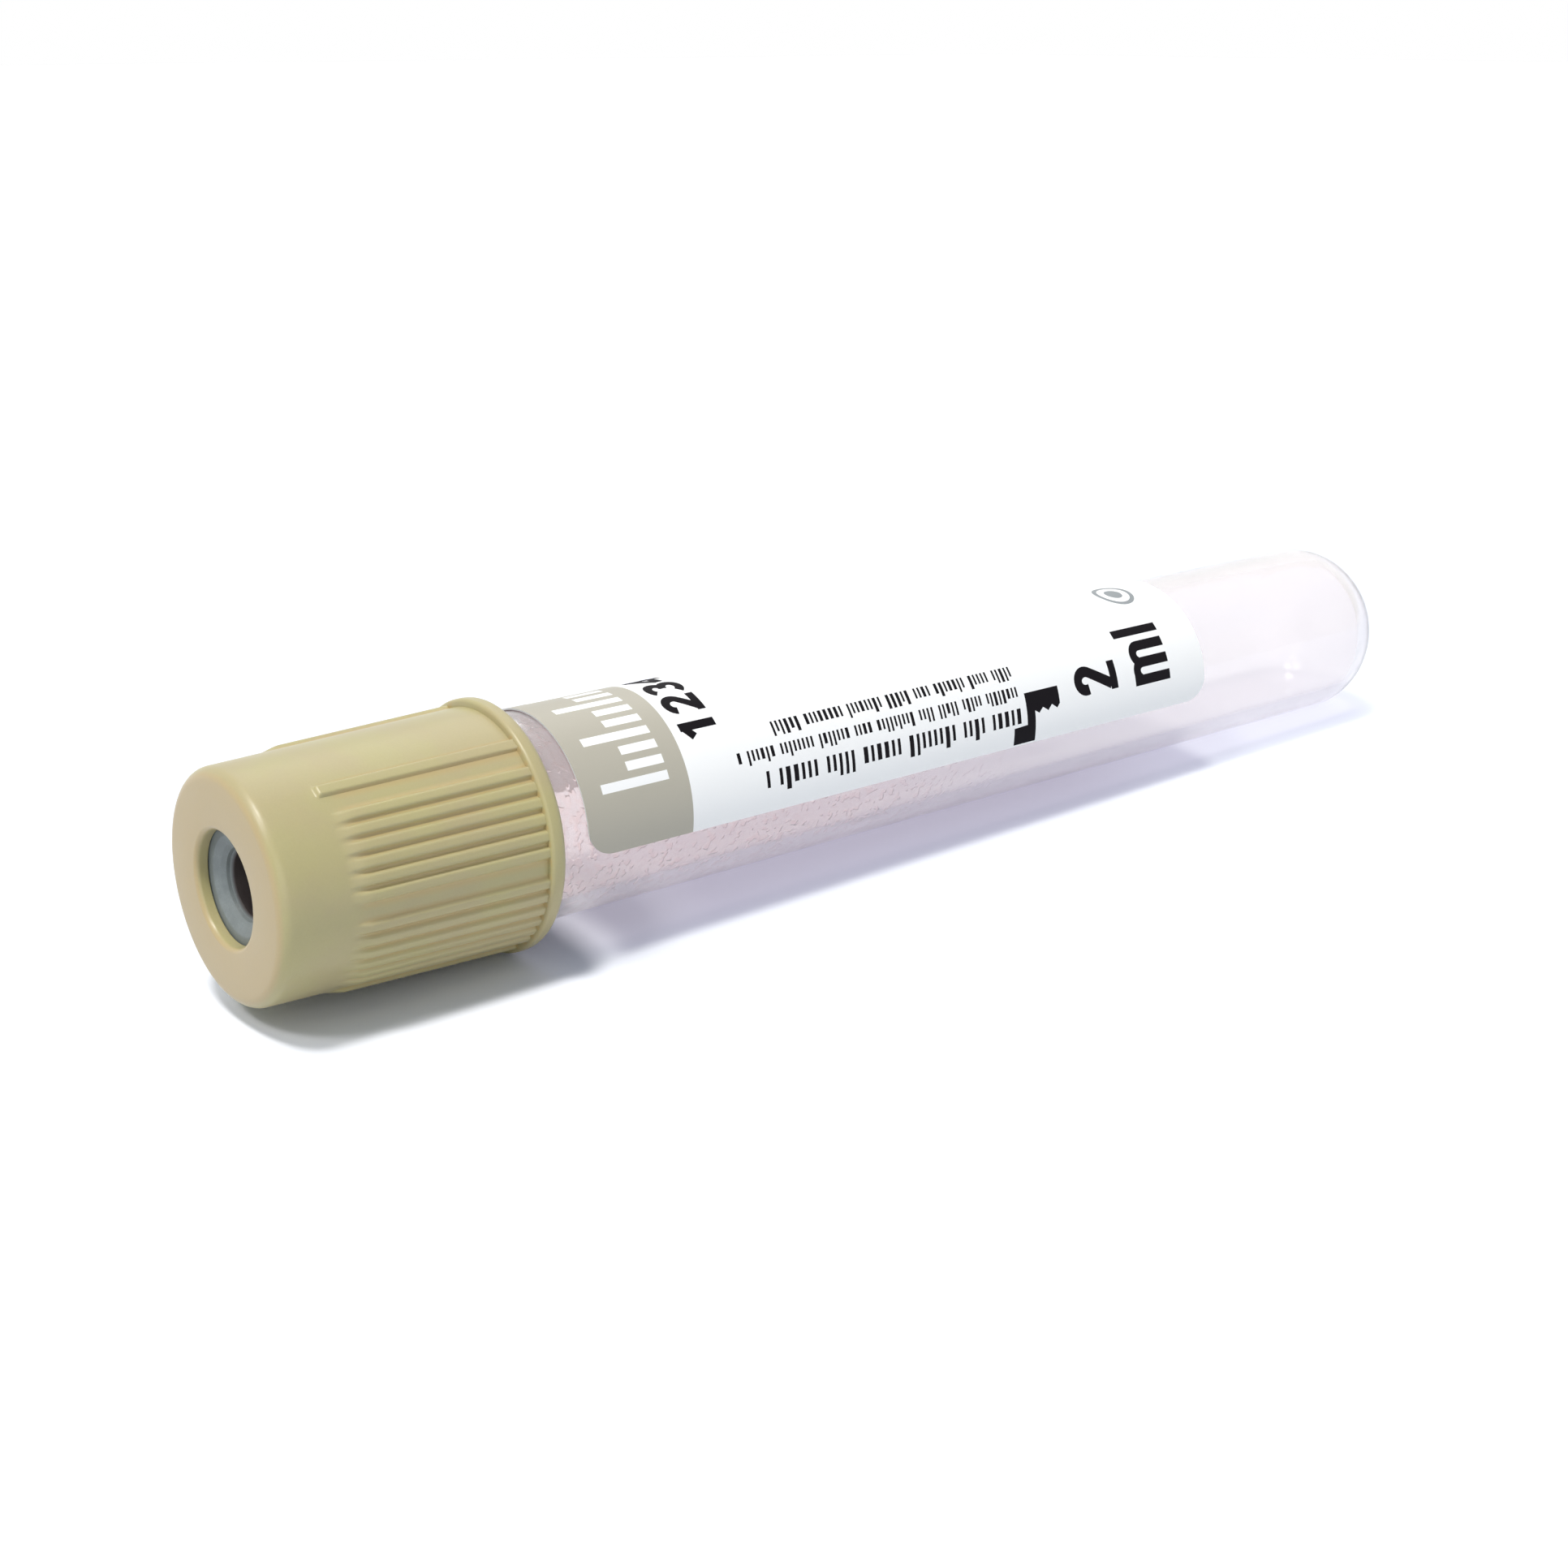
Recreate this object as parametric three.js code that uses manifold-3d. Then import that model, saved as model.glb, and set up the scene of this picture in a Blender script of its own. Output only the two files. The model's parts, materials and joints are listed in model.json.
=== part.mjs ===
// Blood collection tube: a round-bottomed clear plastic tube with a printed label,
// closed by a rubber stopper that is held in a ribbed moulded safety cap.
// Millimetres, +Z up. The tube lies on its side, cap towards -X, resting on the
// rim of the cap and on the start of its round end. The origin is under the middle
// of the whole object, on the surface that it lies on.
import * as THREE from "three";
import { mergeVertices } from "three/addons/utils/BufferGeometryUtils.js";
import Module from "manifold-3d";

const wasm = await Module();
wasm.setup();

// ---------------------------------------------------------------- driving sizes
const OVERALL_LENGTH = 100;      // cap front to the end of the round bottom
const TUBE_OD = 13;              // outside diameter of the tube
const TUBE_WALL = 1.0;           // wall of the tube
const DOME_DEPTH = 5.2;          // length of the round end, outside
const CAP_LENGTH = 17.75;        // front face to the tube side of the rim
const CAP_FRONT_PROUD = 0.38;    // smooth front of the cap, beyond the tube
const CAP_TAPER = 0.028;         // growth of the cap's radius per mm of length
const RIM_PROUD = 1.33;          // raised ring at the open end, beyond the tube
const RIM_WIDTH = 1.1;
const FACE_WALL = 0.8;           // front wall of the cap, around the needle hole
const NEEDLE_HOLE_RADIUS = 3.36;
const NEEDLE_HOLE_LIP = 0.32;    // rounding of the edge of that hole
const SKIRT_CLEARANCE = 0.12;    // cap bore over the tube
const HEAD_LENGTH = 4.35;        // front face to the mouth, less the face wall
const PLUG_LENGTH = 6.0;         // rubber inside the tube
const PLUG_CLEARANCE = 0.1;
const RIB_PITCH = 7.5;           // degrees
const RIB_HEIGHT = 0.33;
const RIB_START = 4.0;           // ribs rise out of the smooth front here
const RIB_FULL = 5.3;            // and reach their height here
const LABEL_MARGIN = 2.25;       // bare tube between the cap and the label
const LABEL_LENGTH = 55.6;
const LABEL_THICKNESS = 0.1;
const LABEL_GAP = 0.06;
const LABEL_CORNER = 1.8;
const LABEL_FACETS = 40;         // facets of the tube that the label covers
const SEGMENTS = 72;             // facets round every turned piece
const OUTER_STEPS = 9;           // facets along the round end, outside and inside
const INNER_STEPS = 8;

// -------------------------------------------------------------- derived sizes
const TUBE_R = TUBE_OD / 2;
const BORE_R = TUBE_R - TUBE_WALL;
const CAP_FRONT_RADIUS = TUBE_R + CAP_FRONT_PROUD;
const RIM_RADIUS = TUBE_R + RIM_PROUD;
const LABEL_START = CAP_LENGTH + LABEL_MARGIN;
const MOUTH = FACE_WALL + HEAD_LENGTH;
const DOME_START = OVERALL_LENGTH - DOME_DEPTH;
const SKIRT_R = TUBE_R + SKIRT_CLEARANCE;
const RIM_START = CAP_LENGTH - RIM_WIDTH;
const RIM_PEAK = CAP_LENGTH - 0.5;
const POCKET_R = TUBE_R - 0.1;       // room for the head of the stopper
const HEAD_R = POCKET_R - 0.1;
const PLUG_R = BORE_R - PLUG_CLEARANCE;
const PLUG_END = MOUTH + PLUG_LENGTH;
const TILT = Math.atan((RIM_RADIUS - TUBE_R) / (DOME_START - RIM_PEAK));
const FACET = (2 * Math.PI) / SEGMENTS;

// Radius of the cap between its ribs, at a distance from the front face.
const capRadius = (x) => CAP_FRONT_RADIUS + CAP_TAPER * x;

// --------------------------------------------------------------------- helpers
// A turned piece about the X axis, from a profile of [distance along X, radius].
function turned(profile) {
  const points = profile.map(([x, r]) => new THREE.Vector2(r, x));
  const geometry = new THREE.LatheGeometry(points, SEGMENTS, FACET / 2);
  geometry.rotateZ(-Math.PI / 2);
  return geometry;
}

// The same geometry with only positions and its shared vertices joined.
function welded(geometry) {
  const copy = geometry.clone();
  copy.deleteAttribute("normal");
  copy.deleteAttribute("uv");
  return mergeVertices(copy, 1e-4);
}

function toSolid(geometry) {
  const source = welded(geometry);
  const mesh = new wasm.Mesh({
    numProp: 3,
    vertProperties: new Float32Array(source.attributes.position.array),
    triVerts: new Uint32Array(source.index.array),
  });
  return new wasm.Manifold(mesh);
}

function fromSolid(solid) {
  const mesh = solid.getMesh();
  const geometry = new THREE.BufferGeometry();
  const position = new THREE.BufferAttribute(mesh.vertProperties, 3);
  geometry.setAttribute("position", position);
  geometry.setIndex(new THREE.BufferAttribute(mesh.triVerts, 1));
  geometry.computeVertexNormals();
  return geometry;
}

// A closed skin from rings of points that follow each other, with flat ends.
function lofted(rings) {
  const count = rings[0].length;
  const vertices = rings.flat(2);
  const faces = [];
  for (let i = 0; i + 1 < rings.length; i += 1) {
    for (let j = 0; j < count; j += 1) {
      const a = i * count + j;
      const b = i * count + ((j + 1) % count);
      const c = a + count;
      const d = b + count;
      faces.push(a, c, b, b, c, d);
    }
  }
  const last = (rings.length - 1) * count;
  for (let j = 1; j + 1 < count; j += 1) {
    faces.push(0, j, j + 1);
    faces.push(last, last + j + 1, last + j);
  }
  if (signedVolume(vertices, faces) < 0) {
    faces.reverse();
  }
  const geometry = new THREE.BufferGeometry();
  geometry.setAttribute("position", new THREE.Float32BufferAttribute(vertices, 3));
  geometry.setIndex(faces);
  geometry.computeVertexNormals();
  return geometry;
}

// Six times the volume inside a skin: negative where its faces point inwards.
function signedVolume(vertices, faces) {
  const corner = (i) => new THREE.Vector3().fromArray(vertices, i * 3);
  let total = 0;
  for (let i = 0; i < faces.length; i += 3) {
    const side = corner(faces[i + 1]).cross(corner(faces[i + 2]));
    total += corner(faces[i]).dot(side);
  }
  return total;
}

// A point at a station, an angle from the top towards -Y, and a radius.
function polar(x, degrees, radius) {
  const angle = THREE.MathUtils.degToRad(degrees);
  return [x, -radius * Math.sin(angle), radius * Math.cos(angle)];
}

// Points of a quarter of an ellipse, from its first angle to its last, in degrees.
function arc(cx, rx, ry, from, to, steps) {
  const points = [];
  for (let i = 0; i <= steps; i += 1) {
    const a = THREE.MathUtils.degToRad(from + ((to - from) * i) / steps);
    points.push([cx + rx * Math.sin(a), ry * Math.cos(a)]);
  }
  return points;
}

// ------------------------------------------------------------------------ tube
function tubeGeometry() {
  const innerDepth = DOME_DEPTH - TUBE_WALL;
  const profile = [
    [MOUTH, BORE_R + 0.3],
    [MOUTH, TUBE_R - 0.3],
    [MOUTH + 0.09, TUBE_R - 0.09],
    [MOUTH + 0.3, TUBE_R],
    ...arc(DOME_START, DOME_DEPTH, TUBE_R, 0, 90, OUTER_STEPS),
    ...arc(DOME_START, innerDepth, BORE_R, 90, 0, INNER_STEPS),
    [MOUTH + 0.3, BORE_R],
    [MOUTH + 0.09, BORE_R + 0.09],
    [MOUTH, BORE_R + 0.3],
  ];
  const split = 3 + OUTER_STEPS + 1;
  profile[split][1] = 0;
  profile[split + 1][1] = 0;
  const outside = profile.slice(0, split + 1);
  const inside = profile.slice(split + 1);
  // The wall is one loop that touches the axis at the outer and the inner pole.
  return turnedShell(outside, inside);
}

// A cup-shaped piece: an outside profile that ends on the axis and an inside
// profile that starts on the axis and comes back to where the outside began.
function turnedShell(outside, inside) {
  const outer = toTriangles(turned(outside));
  const inner = toTriangles(turned(inside));
  const geometry = new THREE.BufferGeometry();
  const all = new Float32Array(outer.length + inner.length);
  all.set(outer, 0);
  all.set(inner, outer.length);
  geometry.setAttribute("position", new THREE.BufferAttribute(all, 3));
  return mergeVertices(geometry, 1e-4);
}

function toTriangles(geometry) {
  const flat = welded(geometry).toNonIndexed().attributes.position.array;
  const kept = [];
  for (let i = 0; i < flat.length; i += 9) {
    const a = new THREE.Vector3(flat[i], flat[i + 1], flat[i + 2]);
    const b = new THREE.Vector3(flat[i + 3], flat[i + 4], flat[i + 5]);
    const c = new THREE.Vector3(flat[i + 6], flat[i + 7], flat[i + 8]);
    const area = b.clone().sub(a).cross(c.clone().sub(a)).length();
    if (area > 1e-7) {
      kept.push(...flat.slice(i, i + 9));
    }
  }
  return new Float32Array(kept);
}

// ----------------------------------------------------------------------- label
// A printed sheet wrapped over the upper half of the tube, with rounded corners. It
// leaves the underside clear, where the level of the blood is read.
function labelGeometry() {
  const inner = TUBE_R + LABEL_GAP;
  const outer = inner + LABEL_THICKNESS;
  const firstAngle = 97.5;
  const step = 360 / SEGMENTS;
  const rings = [];
  for (let i = 0; i <= LABEL_FACETS; i += 1) {
    const degrees = firstAngle - i * step;
    const fromEdge = Math.min(i, LABEL_FACETS - i) * FACET * TUBE_R;
    const into = Math.max(0, LABEL_CORNER - fromEdge);
    const cut = LABEL_CORNER - Math.sqrt(LABEL_CORNER ** 2 - into ** 2);
    const x0 = LABEL_START + cut;
    const x1 = LABEL_START + LABEL_LENGTH - cut;
    rings.push([
      polar(x0, degrees, inner),
      polar(x1, degrees, inner),
      polar(x1, degrees, outer),
      polar(x0, degrees, outer),
    ]);
  }
  return lofted(rings);
}

// --------------------------------------------------------------------- stopper
// Rubber: a head with a dished needle port, a groove that the cap's ridge snaps
// into, and a plug with two sealing rings and a hollow underside.
function stopperGeometry() {
  const face = FACE_WALL + 0.05;
  const groove = FACE_WALL + 2.6;
  const flange = MOUTH - 0.15;
  const well = PLUG_END - 3.6;
  const profile = [
    [FACE_WALL + 3.8, 0],
    [FACE_WALL + 3.8, 1.35],
    [FACE_WALL + 3.5, 1.6],
    [FACE_WALL + 0.85, 1.95],
    [FACE_WALL + 0.65, 2.15],
    [FACE_WALL + 0.3, 2.4],
    [face, 2.9],
    [face, HEAD_R - 0.2],
    [face + 0.2, HEAD_R],
    [groove, HEAD_R],
    [groove, HEAD_R - 0.7],
    [groove + 0.8, HEAD_R - 0.7],
    [groove + 0.8, HEAD_R],
    [flange, HEAD_R],
    [flange, PLUG_R - 0.2],
    [MOUTH + 0.3, PLUG_R - 0.2],
    [MOUTH + 0.9, PLUG_R],
    [MOUTH + 1.5, PLUG_R - 0.2],
    [MOUTH + 2.6, PLUG_R - 0.2],
    [MOUTH + 3.2, PLUG_R],
    [MOUTH + 3.8, PLUG_R - 0.2],
    [PLUG_END - 0.5, PLUG_R - 0.35],
    [PLUG_END, PLUG_R - 0.8],
    [PLUG_END, 2.9],
    [PLUG_END - 0.3, 2.6],
    [well + 0.3, 2.4],
    [well, 2.1],
    [well, 0],
  ];
  return turned(profile);
}

// ------------------------------------------------------------------ cap shield
function shieldBody() {
  const groove = FACE_WALL + 2.6;
  const profile = [
    [NEEDLE_HOLE_LIP, NEEDLE_HOLE_RADIUS],
    [NEEDLE_HOLE_LIP * 0.3, NEEDLE_HOLE_RADIUS + NEEDLE_HOLE_LIP * 0.3],
    [0, NEEDLE_HOLE_RADIUS + NEEDLE_HOLE_LIP],
    [0, CAP_FRONT_RADIUS - 0.45],
    [0.13, CAP_FRONT_RADIUS - 0.13],
    [0.45, capRadius(0.45)],
    [RIM_START, capRadius(RIM_START)],
    [RIM_START + 0.05, RIM_RADIUS - 0.2],
    [RIM_START + 0.25, RIM_RADIUS - 0.03],
    [RIM_PEAK, RIM_RADIUS],
    [CAP_LENGTH - 0.15, RIM_RADIUS - 0.13],
    [CAP_LENGTH, RIM_RADIUS - 0.43],
    [CAP_LENGTH, SKIRT_R + 0.25],
    [CAP_LENGTH - 0.4, SKIRT_R],
    [MOUTH - 0.15, SKIRT_R],
    [MOUTH - 0.15, POCKET_R],
    [groove + 0.7, POCKET_R],
    [groove + 0.7, HEAD_R - 0.55],
    [groove + 0.1, HEAD_R - 0.55],
    [groove + 0.1, POCKET_R],
    [FACE_WALL, POCKET_R],
    [FACE_WALL, NEEDLE_HOLE_RADIUS],
    [NEEDLE_HOLE_LIP, NEEDLE_HOLE_RADIUS],
  ];
  return turned(profile);
}

// Which of the 24 places in each half turn carries a rib: one on its own, a gap,
// six together, a gap, six together, a gap, one on its own, then a flat for the
// thumb. The pattern repeats on the other side.
const RIB_PLACES = [0, 2, 3, 4, 5, 6, 7, 9, 10, 11, 12, 13, 14, 16];
const FIRST_RIB = 33;

function ribGeometry(degrees) {
  const sink = 0.2;
  const end = RIM_START + 0.2;
  const halfBase = 2.7;
  const halfTop = 1.5;
  const stations = [
    [RIB_START, 0.02],
    [RIB_FULL, RIB_HEIGHT],
    [end, RIB_HEIGHT],
  ];
  const rings = stations.map(([x, height]) => {
    const base = capRadius(x) - sink;
    const top = capRadius(x) + height;
    const spread = halfTop + (halfBase - halfTop) * (1 - height / RIB_HEIGHT) * 0.5;
    return [
      polar(x, degrees - halfBase, base),
      polar(x, degrees - spread, top),
      polar(x, degrees + spread, top),
      polar(x, degrees + halfBase, base),
    ];
  });
  return lofted(rings);
}

function shieldGeometry() {
  let solid = toSolid(shieldBody());
  for (const half of [0, 180]) {
    for (const place of RIB_PLACES) {
      const rib = toSolid(ribGeometry(FIRST_RIB + half + place * RIB_PITCH));
      solid = solid.add(rib);
    }
  }
  return fromSolid(solid);
}

// ------------------------------------------------------------------- materials
const clearPlastic = new THREE.MeshStandardMaterial({
  color: 0xeceaf0,
  roughness: 0.08,
  metalness: 0,
  transparent: true,
  opacity: 0.35,
});
const labelPaper = new THREE.MeshStandardMaterial({
  color: 0xf2f4f4,
  roughness: 0.45,
  metalness: 0,
});
const rubber = new THREE.MeshStandardMaterial({
  color: 0x8f9aa0,
  roughness: 0.65,
  metalness: 0,
});
const capPlastic = new THREE.MeshStandardMaterial({
  color: 0xd2c898,
  roughness: 0.4,
  metalness: 0,
});

// ----------------------------------------------------------------------- scene
function piece(name, geometry, material) {
  const mesh = new THREE.Mesh(geometry, material);
  mesh.name = name;
  return mesh;
}

const axisGroup = new THREE.Group();
axisGroup.add(piece("tube", tubeGeometry(), clearPlastic));
axisGroup.add(piece("label", labelGeometry(), labelPaper));
axisGroup.add(piece("stopper", stopperGeometry(), rubber));
axisGroup.add(piece("cap_shield", shieldGeometry(), capPlastic));

// The axis drops towards the round end, because the rim of the cap is wider.
axisGroup.rotation.y = TILT;
const touching = RIM_RADIUS * Math.cos(FACET / 2);
const axisHeight = touching * Math.cos(TILT) + RIM_PEAK * Math.sin(TILT);
const front = (CAP_FRONT_RADIUS - 0.45) * Math.sin(TILT);
const back = OVERALL_LENGTH * Math.cos(TILT);
axisGroup.position.set(-(back - front) / 2, 0, axisHeight);

const group = new THREE.Group();
group.name = "blood_collection_tube";
group.add(axisGroup);

export default group;
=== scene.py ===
"""Blood collection tube: finish, print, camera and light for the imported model.

A clear round-bottomed tube with a wrapped film label, closed by a rubber stopper in
a ribbed moulded cap. Each piece is turned or wrapped again here, finer than the
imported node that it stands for, about the same axis and to the same sizes.
"""

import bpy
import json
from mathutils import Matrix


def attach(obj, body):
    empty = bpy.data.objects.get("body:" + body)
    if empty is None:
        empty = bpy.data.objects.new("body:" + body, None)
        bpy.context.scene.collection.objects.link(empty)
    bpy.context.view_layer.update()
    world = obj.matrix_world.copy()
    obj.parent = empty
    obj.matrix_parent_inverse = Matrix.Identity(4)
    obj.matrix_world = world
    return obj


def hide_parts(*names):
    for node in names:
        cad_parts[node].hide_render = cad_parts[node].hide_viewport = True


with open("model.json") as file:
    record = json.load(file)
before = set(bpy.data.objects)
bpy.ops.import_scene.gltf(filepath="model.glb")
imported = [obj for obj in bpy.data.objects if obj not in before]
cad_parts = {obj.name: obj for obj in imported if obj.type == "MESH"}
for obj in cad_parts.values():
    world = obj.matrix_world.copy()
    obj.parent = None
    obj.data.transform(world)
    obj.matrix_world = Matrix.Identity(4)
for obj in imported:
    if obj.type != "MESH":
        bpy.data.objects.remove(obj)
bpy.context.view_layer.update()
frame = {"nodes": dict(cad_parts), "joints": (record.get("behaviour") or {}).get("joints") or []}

import json
import logging
import math
import random
from dataclasses import dataclass, field
from enum import Enum
from typing import Callable, Sequence, Union

import bmesh
import bpy
import numpy as np
from mathutils import Matrix, Vector, geometry

MM = 0.001
SHARP_EDGE = 42.0  # degrees; shading breaks where faces meet at more than this
FILLET_REACH = 0.48  # the largest share of an edge that the fillet at one end takes
ON_AXIS = 1e-6  # millimetres
log = logging.getLogger("tube")

Colour = tuple[float, float, float]
Point = tuple[float, float]
Outline = list[Point]
Values = np.ndarray | float
Piece = bpy.types.Object
Term = Union["Signal", float, Sequence[float]]


# ---------------- small helpers
def ink_colour(red: int, green: int, blue: int) -> Colour:
    """Turns a colour written from 0 to 255 into the linear one that shaders take."""
    written = (c / 255 for c in (red, green, blue))
    return tuple(((c + 0.055) / 1.055) ** 2.4 if c > 0.04 else c / 12.92 for c in written)


def smooth_step(low: float, high: float, x: Values) -> Values:
    """Rises from 0 at low to 1 at high, gently at both ends."""
    t = np.clip((x - low) / (high - low), 0.0, 1.0)
    return t * t * (3.0 - 2.0 * t)


def stepped(start: float, stop: float, step: float) -> list[float]:
    """Even places from start to stop, both included, at most a step apart."""
    count = max(1, math.ceil(abs(stop - start) / step - 1e-9))
    return [start + (stop - start) * i / count for i in range(count + 1)]


def apart(first: Values, second: Values) -> Values:
    """How many degrees lie between two angles, the short way round."""
    return abs((first - second + 180) % 360 - 180)


@dataclass(frozen=True)
class Corner:
    """A corner of a turned outline in millimetres, and the radius that rounds it."""

    station: float
    radius: float
    fillet: float = 0.0


def rounded(corners: Sequence[Corner], closed: bool, steps: int = 6) -> Outline:
    """Rounds the corners of an outline with arcs.

    Args:
        corners: the outline's corners in order.
        closed: whether the last corner joins the first.
        steps: how many pieces an arc has.

    Returns:
        The outline's points, each a station and a radius.
    """
    outline: Outline = []
    count = len(corners)
    for i, corner in enumerate(corners):
        here = Vector((corner.station, corner.radius))
        at_end = not closed and i in (0, count - 1)
        if corner.fillet == 0 or at_end:
            outline.append((here.x, here.y))
            continue
        before, after = corners[i - 1], corners[(i + 1) % count]
        back = Vector((before.station, before.radius)) - here
        ahead = Vector((after.station, after.radius)) - here
        half = back.angle(ahead) / 2
        room = FILLET_REACH * min(back.length, ahead.length)
        reach = min(corner.fillet / math.tan(half), room)
        radius = reach * math.tan(half)
        back.normalize()
        ahead.normalize()
        centre = here + (back + ahead).normalized() * (radius / math.sin(half))
        first, last = here + back * reach - centre, here + ahead * reach - centre
        turn = math.atan2(first.x * last.y - first.y * last.x, first.dot(last))
        for k in range(steps + 1):
            spoke = Matrix.Rotation(turn * k / steps, 2) @ first
            outline.append((centre.x + spoke.x, centre.y + spoke.y))
    return outline


def divided(outline: Outline, longest: float, closed: bool) -> Outline:
    """Adds points along an outline, so that none is further than longest from the next."""
    out: Outline = []
    pairs = zip(outline, outline[1:] + (outline[:1] if closed else []))
    for (x0, r0), (x1, r1) in pairs:
        count = max(1, math.ceil(math.hypot(x1 - x0, r1 - r0) / longest))
        out += [(x0 + (x1 - x0) * k / count, r0 + (r1 - r0) * k / count) for k in range(count)]
    return out if closed else out + [outline[-1]]


# ---------------- the axis
@dataclass(frozen=True)
class TubeAxis:
    """The line that every turned piece is centred on.

    A place has a station in millimetres from the front face of the cap, an angle in
    degrees from the top towards the near side, and a radius in millimetres.
    """

    origin: Vector
    along: Vector
    up: Vector
    near: Vector

    @classmethod
    def of_frame(cls) -> "TubeAxis":
        """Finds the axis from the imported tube, its cap and the joint that pulls the cap off."""
        along = -Vector(frame["joints"][0]["axis"]).normalized()
        tube = [v.co for v in frame["nodes"]["tube"].data.vertices]
        middle = sum(tube, Vector()) / len(tube)
        cap = frame["nodes"]["cap_shield"].data.vertices
        front = min(along.dot(v.co) for v in cap)
        near = Vector((0.0, -1.0, 0.0))
        origin = middle + along * (front - along.dot(middle))
        return cls(origin, along, near.cross(along).normalized(), near)

    def places(self, stations: np.ndarray, degrees: np.ndarray, radii: np.ndarray) -> np.ndarray:
        """Gives the points, in metres, at arrays of stations, angles and radii."""
        angle = np.radians(degrees)
        out = np.outer(stations, self.along)
        out += np.outer(radii * np.cos(angle), self.up)
        out += np.outer(radii * np.sin(angle), self.near)
        return np.array(self.origin) + out * MM

    def measured(self, piece: Piece) -> tuple[np.ndarray, np.ndarray, np.ndarray]:
        """Gives the station, angle and radius of every vertex of a piece."""
        points = (np.array([v.co for v in piece.data.vertices]) - np.array(self.origin)) / MM
        upward, across = points @ np.array(self.up), points @ np.array(self.near)
        degrees = np.degrees(np.arctan2(across, upward)) % 360
        return points @ np.array(self.along), degrees, np.hypot(across, upward)


def placed(name: str, data: bpy.types.ID) -> Piece:
    """Makes an object of its data and links it to the scene."""
    thing = bpy.data.objects.new(name, data)
    bpy.context.scene.collection.objects.link(thing)
    return thing


def finished_object(name: str, points: np.ndarray, faces: list[tuple[int, ...]]) -> Piece:
    """Makes a mesh object with its faces pointing outwards, shaded smooth between sharp edges.

    Args:
        name: the piece's name.
        points: its vertices, in metres.
        faces: its faces, as vertex numbers.

    Returns:
        The new object, linked to the scene.
    """
    mesh = bpy.data.meshes.new(name)
    mesh.from_pydata(points.tolist(), [], faces)
    work = bmesh.new()
    work.from_mesh(mesh)
    bmesh.ops.recalc_face_normals(work, faces=work.faces)
    work.to_mesh(mesh)
    work.free()
    mesh.shade_smooth()
    mesh.set_sharp_from_angle(angle=math.radians(SHARP_EDGE))
    return placed(name, mesh)


def mark_points(piece: Piece, name: str, values: np.ndarray) -> None:
    """Keeps a value from 0 to 1 for every vertex of a piece, which its material reads by name."""
    layer = piece.data.attributes.new(name, "FLOAT", "POINT")
    layer.data.foreach_set("value", values.astype(np.float32))


def turned(
    name: str,
    axis: TubeAxis,
    outline: Outline,
    degrees: Sequence[float],
    closed: bool,
    relief: Callable[[np.ndarray, np.ndarray, np.ndarray], np.ndarray] | None = None,
) -> Piece:
    """Turns an outline about the axis.

    Args:
        name: the piece's name.
        axis: the axis of the tube.
        outline: stations and radii in order; a radius of 0 closes the piece on the axis.
        degrees: the angles of the columns, going once round.
        closed: whether the last point of the outline joins the first.
        relief: what to add to the radius, from arrays of stations, angles and radii.

    Returns:
        The turned piece.
    """
    points, rings = [], []
    total = 0
    around = np.array(degrees)
    for station, radius in outline:
        on_axis = radius < ON_AXIS
        angles = around[:1] if on_axis else around
        stations = np.full(len(angles), station)
        radii = np.full(len(angles), radius)
        if relief is not None and not on_axis:
            radii = radii + relief(stations, angles, radii)
        points.append(axis.places(stations, angles, radii))
        rings.append(list(range(total, total + len(angles))))
        total += len(angles)
    faces: list[tuple[int, ...]] = []
    for ring, following in zip(rings, rings[1:] + (rings[:1] if closed else [])):
        for j in range(len(around)):
            k = (j + 1) % len(around)
            if len(ring) == 1:
                faces.append((ring[0], following[j], following[k]))
            elif len(following) == 1:
                faces.append((ring[j], following[0], ring[k]))
            else:
                faces.append((ring[j], following[j], following[k], ring[k]))
    return finished_object(name, np.vstack(points), faces)


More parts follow.
